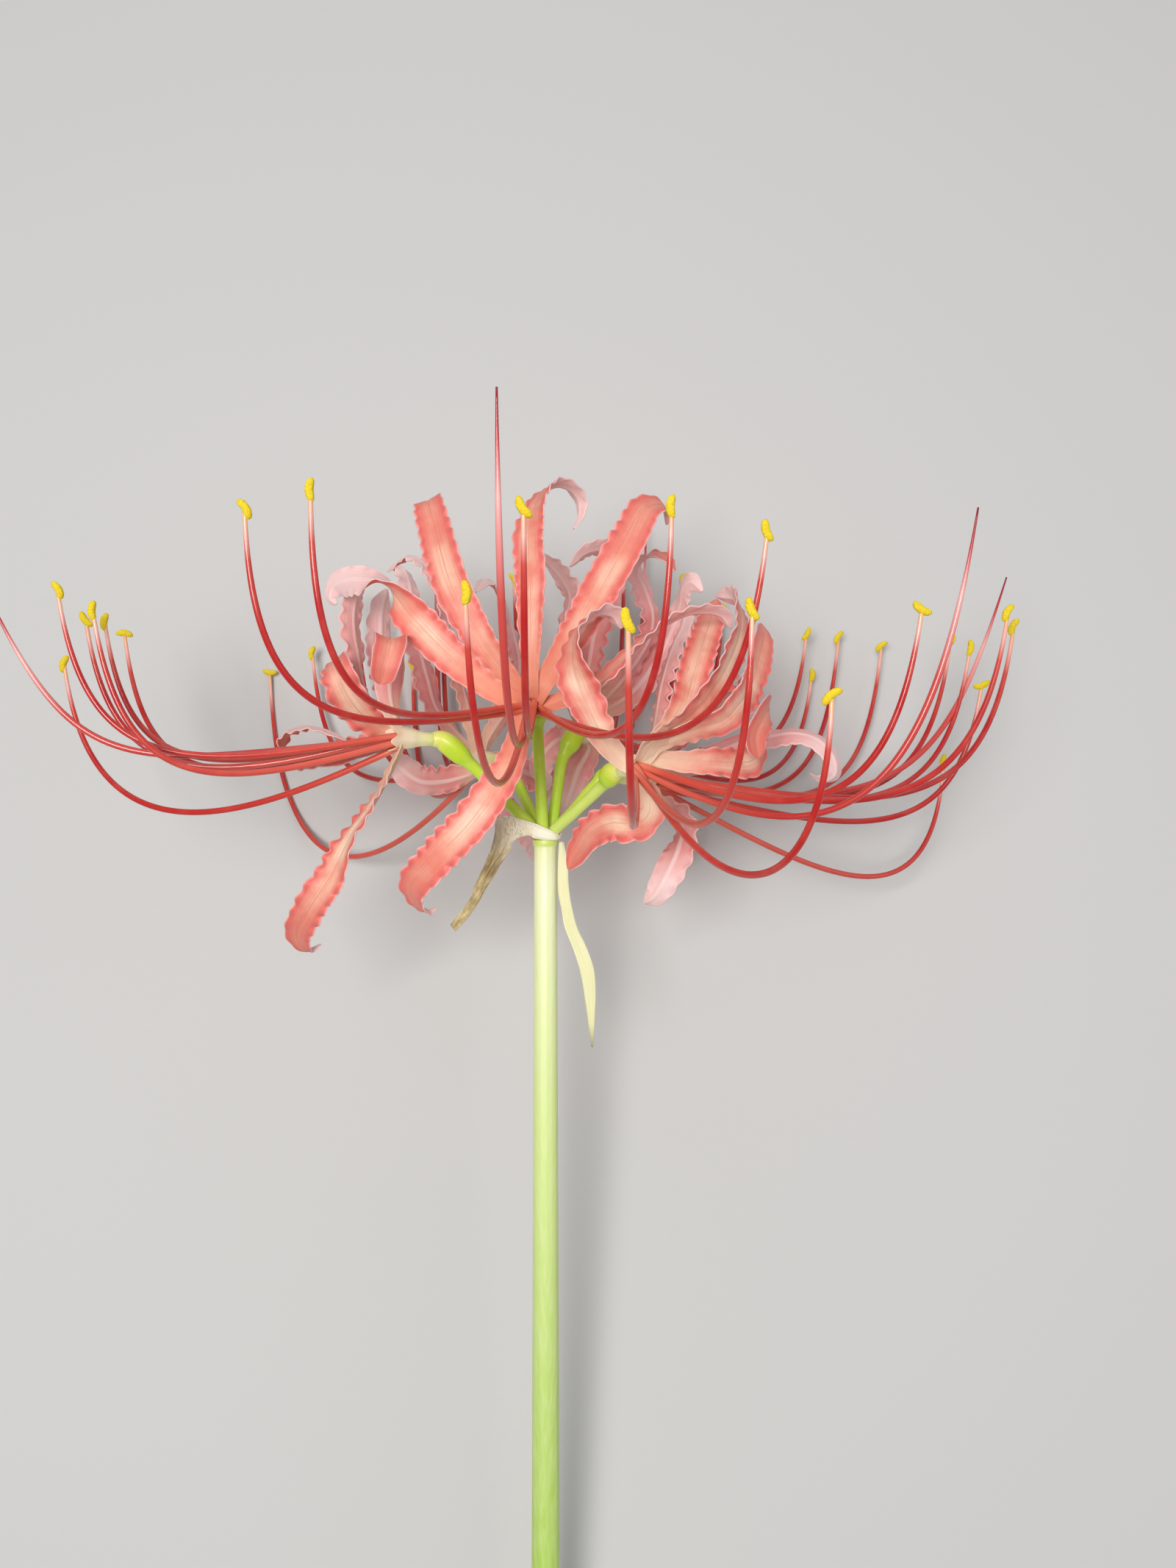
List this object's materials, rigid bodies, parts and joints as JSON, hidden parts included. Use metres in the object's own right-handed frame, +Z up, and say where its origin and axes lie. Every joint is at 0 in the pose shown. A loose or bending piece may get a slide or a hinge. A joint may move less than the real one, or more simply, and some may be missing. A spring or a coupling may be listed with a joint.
{
  "type": "red spider lily",
  "caption": "Cut umbel flower lying on a surface: slim leafless stalk, narrow waved rolled-back tepals, long arching stamens with small anthers, papery bracts.",
  "frame": {"origin": "on the surface that the flower lies on, under the middle of its bounding box", "axes": "+Y along the stalk towards the flower head, +Z up, +X to the right of the head as the camera sees it"},
  "size_m": [0.1836, 0.3126, 0.1278],
  "materials": {
    "stalk": "smooth, waxy green plant tissue",
    "dry_bract": "dry, papery tan skin",
    "pale_bract": "papery cream-yellow skin",
    "tepal": "satin coral-red tissue with pale midrib",
    "filament": "smooth glossy deep red",
    "anther": "powdery bright yellow"
  },
  "bodies": {
    "root": {"stalk": "stalk", "bract_dry": "dry_bract", "bract_pale": "pale_bract", "floret_1_tepals": "tepal", "floret_1_stamens": "filament", "floret_2_tepals": "tepal", "floret_2_stamens": "filament", "floret_3_tepals": "tepal", "floret_3_stamens": "filament", "floret_4_tepals": "tepal", "floret_4_stamens": "filament", "floret_5_tepals": "tepal", "floret_5_stamens": "filament", "floret_6_tepals": "tepal", "floret_6_stamens": "filament"}
  },
  "joints": []
}
